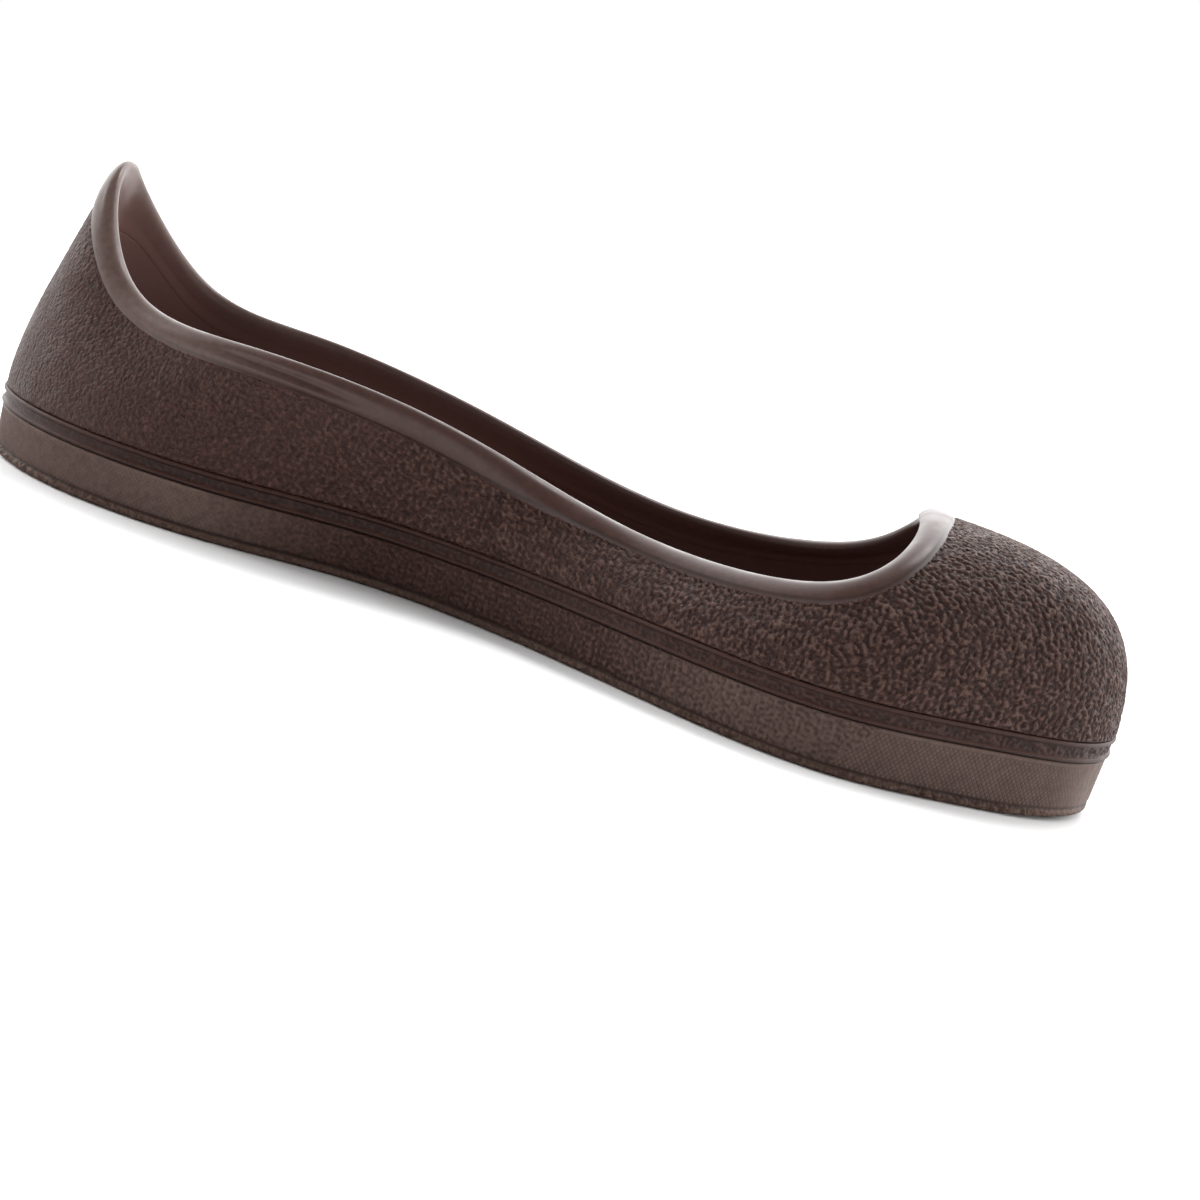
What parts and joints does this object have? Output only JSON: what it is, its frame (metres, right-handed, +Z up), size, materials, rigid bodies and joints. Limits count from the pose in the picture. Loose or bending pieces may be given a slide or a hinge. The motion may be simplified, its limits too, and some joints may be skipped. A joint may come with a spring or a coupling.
{
  "type": "overshoe",
  "caption": "Open moulded rubber overshoe, left foot: closed grained toe cap, peaked heel, smooth topline bead, twin-ribbed welt and flat cup sole.",
  "frame": {"origin": "middle of the footprint's bounding box, on the floor plane under the tread", "axes": "+X to the toe, +Z up, -Y to the arch (inner) side of the left foot"},
  "size_m": [0.3058, 0.1202, 0.0821],
  "materials": {
    "sole_rubber": "dark brown-grey moulded rubber, fine knurl and grain, matt",
    "welt_rubber": "dark brown-grey moulded rubber, smooth ribs, satin",
    "upper_rubber": "dark brown-grey moulded rubber with a leather grain, matt to satin; smooth and near black inside",
    "rim_rubber": "dark brown-grey moulded rubber, smooth and satin"
  },
  "bodies": {
    "root": {"outsole": "sole_rubber", "welt_strip": "welt_rubber", "upper_shell": "upper_rubber", "topline_rim": "rim_rubber"}
  },
  "joints": []
}
